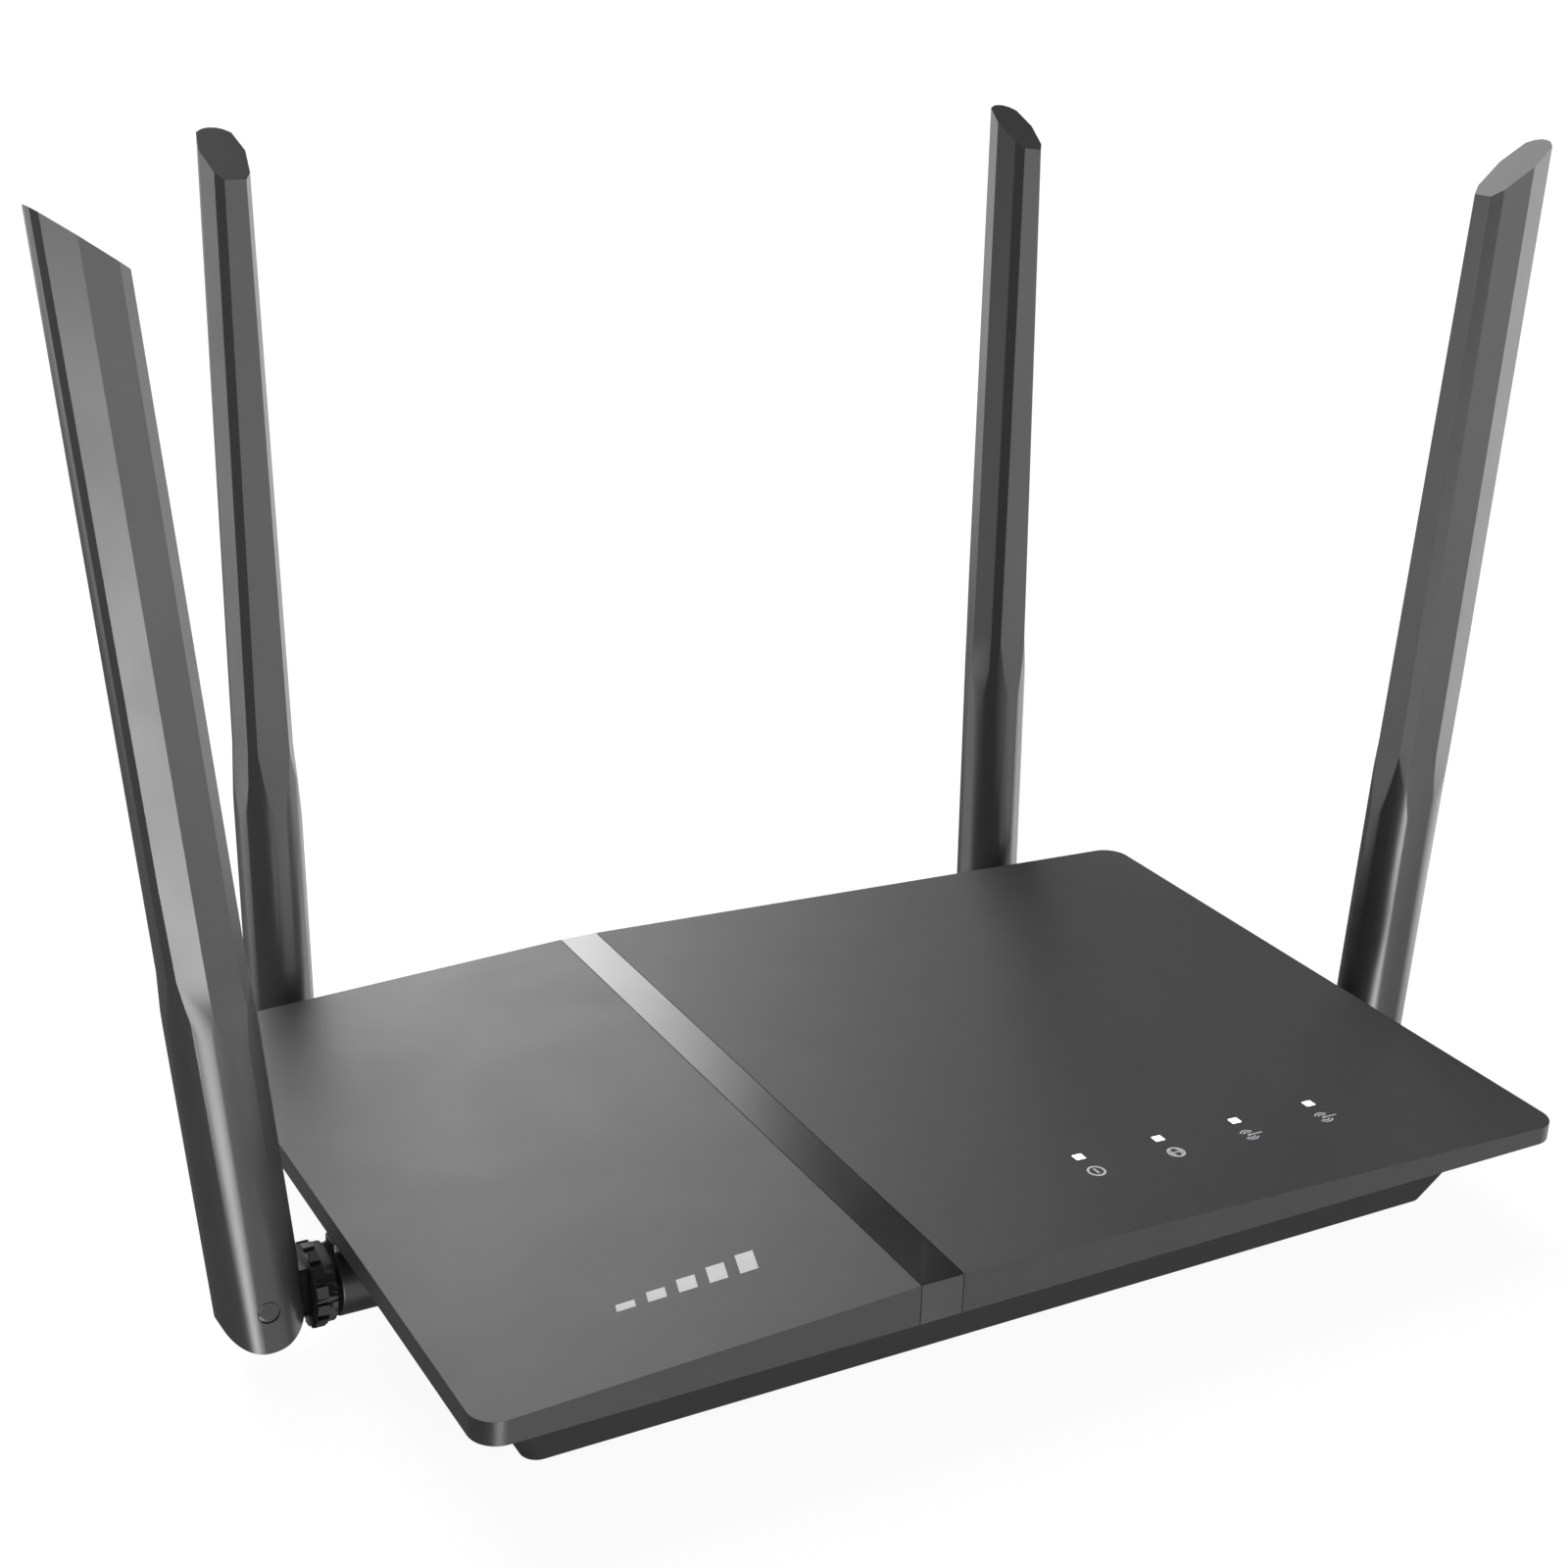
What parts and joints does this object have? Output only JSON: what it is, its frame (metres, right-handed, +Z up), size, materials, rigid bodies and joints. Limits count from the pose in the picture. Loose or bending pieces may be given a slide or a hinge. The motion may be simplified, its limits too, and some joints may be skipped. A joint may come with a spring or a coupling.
{
  "type": "wireless router",
  "caption": "Wireless router with a thin roof-shaped top plate, a glossy strip, a tapering tub, rear sockets and folding blade antennas on swivel hinges.",
  "frame": {"origin": "on the surface the feet stand on, under the middle of the whole object's box with the antennas at rest", "axes": "+X to the right seen from the front, +Y to the back, +Z up"},
  "size_m": [0.2886, 0.2097, 0.1962],
  "materials": {
    "cover_plastic": "fine matte texture",
    "strip_gloss": "piano gloss",
    "case_plastic": "moulded satin",
    "foot_rubber": "soft rubber",
    "screw_steel": "zinc plated",
    "label_paper": "blank label",
    "board_laminate": "solder mask",
    "jack_black": "moulded",
    "jack_yellow": "moulded",
    "contact_gold": "gold plated",
    "jack_pin_metal": "plated",
    "switch_plastic": "moulded",
    "button_plastic": "satin",
    "plunger_plastic": "moulded",
    "led_lens": "clear white",
    "light_pipe": "frosted clear",
    "chip_black": "moulding compound",
    "pad_silicone": "soft silicone",
    "sink_aluminium": "anodised",
    "shield_steel": "tin plated",
    "can_sleeve": "sleeved can",
    "ferrite": "ferrite",
    "hinge_plastic": "moulded satin",
    "blade_plastic": "satin moulded",
    "pin_plastic": "moulded",
    "element_laminate": "printed laminate",
    "lead_jacket": "coaxial jacket"
  },
  "bodies": {
    "case": {"top_cover": "cover_plastic", "accent_strip": "strip_gloss", "bottom_case": "case_plastic", "rear_panel": "case_plastic", "rubber_feet": "foot_rubber", "case_screws": "screw_steel", "rating_label": "label_paper", "main_board": "board_laminate", "board_screws": "screw_steel", "lan_jacks": "jack_black", "wan_jack": "jack_yellow", "jack_contacts": "contact_gold", "dc_jack": "jack_black", "dc_jack_pin": "jack_pin_metal", "power_switch": "switch_plastic", "wps_switch": "switch_plastic", "reset_switch": "switch_plastic", "status_leds": "led_lens", "light_guide": "light_pipe", "main_processor": "chip_black", "thermal_pad": "pad_silicone", "heat_sink": "sink_aluminium", "memory_chip": "chip_black", "flash_chip": "chip_black", "switch_chip": "chip_black", "radio_chips": "chip_black", "radio_shields": "shield_steel", "line_transformers": "chip_black", "capacitors": "can_sleeve", "inductors": "ferrite", "crystals": "shield_steel", "antenna_connectors": "contact_gold", "left_socket": "hinge_plastic", "left_lead": "lead_jacket", "right_socket": "hinge_plastic", "right_lead": "lead_jacket", "rear_left_socket": "hinge_plastic", "rear_left_lead": "lead_jacket", "rear_right_socket": "hinge_plastic", "rear_right_lead": "lead_jacket"},
    "power_button": {"power_button": "button_plastic"},
    "wps_button": {"wps_button": "button_plastic"},
    "reset_plunger": {"reset_plunger": "plunger_plastic"},
    "left_swivel": {"left_knuckle": "hinge_plastic"},
    "left_antenna": {"left_blade": "blade_plastic", "left_hinge_pins": "pin_plastic", "left_element": "element_laminate"},
    "right_swivel": {"right_knuckle": "hinge_plastic"},
    "right_antenna": {"right_blade": "blade_plastic", "right_hinge_pins": "pin_plastic", "right_element": "element_laminate"},
    "rear_left_swivel": {"rear_left_knuckle": "hinge_plastic"},
    "rear_left_antenna": {"rear_left_blade": "blade_plastic", "rear_left_hinge_pins": "pin_plastic", "rear_left_element": "element_laminate"},
    "rear_right_swivel": {"rear_right_knuckle": "hinge_plastic"},
    "rear_right_antenna": {"rear_right_blade": "blade_plastic", "rear_right_hinge_pins": "pin_plastic", "rear_right_element": "element_laminate"}
  },
  "joints": [
    {"name": "left_swivel", "type": "hinge", "parent": "case", "child": "left_swivel", "pos_m": [-0.1229, -0.03673, 0.0123], "axis": [-1, 0, 0], "range_deg": [-95.3, 84.7]},
    {"name": "left_fold", "type": "hinge", "parent": "left_swivel", "child": "left_antenna", "pos_m": [-0.1229, -0.03673, 0.0123], "axis": [0, -0.9957, 0.0924], "range_deg": [-4.5, 85.5]},
    {"name": "right_swivel", "type": "hinge", "parent": "case", "child": "right_swivel", "pos_m": [0.1229, -0.03673, 0.0123], "axis": [-1, 0, 0], "range_deg": [-91.7, 88.3]},
    {"name": "right_fold", "type": "hinge", "parent": "right_swivel", "child": "right_antenna", "pos_m": [0.1229, -0.03673, 0.0123], "axis": [0, 0.9996, -0.0297], "range_deg": [-4.5, 85.5]},
    {"name": "rear_left_swivel", "type": "hinge", "parent": "case", "child": "rear_left_swivel", "pos_m": [-0.08715, 0.05857, 0.0093], "axis": [0, 1, 0], "range_deg": [-92.6, 72.4]},
    {"name": "rear_left_fold", "type": "hinge", "parent": "rear_left_swivel", "child": "rear_left_antenna", "pos_m": [-0.08715, 0.05857, 0.0093], "axis": [-0.999, 0, 0.0454], "range_deg": [-12.3, 77.7]},
    {"name": "rear_right_swivel", "type": "hinge", "parent": "case", "child": "rear_right_swivel", "pos_m": [0.08715, 0.05857, 0.0093], "axis": [0, 1, 0], "range_deg": [-81.7, 83.3]},
    {"name": "rear_right_fold", "type": "hinge", "parent": "rear_right_swivel", "child": "rear_right_antenna", "pos_m": [0.08715, 0.05857, 0.0093], "axis": [-0.9932, 0, 0.1167], "range_deg": [-12.3, 77.7]},
    {"name": "power_push", "type": "slide", "parent": "case", "child": "power_button", "axis": [0, -1, 0], "range_m": [0, 0.0022]},
    {"name": "wps_push", "type": "slide", "parent": "case", "child": "wps_button", "axis": [0, -1, 0], "range_m": [0, 0.0005], "stiffness_N_per_m": 800},
    {"name": "reset_push", "type": "slide", "parent": "case", "child": "reset_plunger", "axis": [0, -1, 0], "range_m": [0, 0.0004], "stiffness_N_per_m": 800}
  ]
}
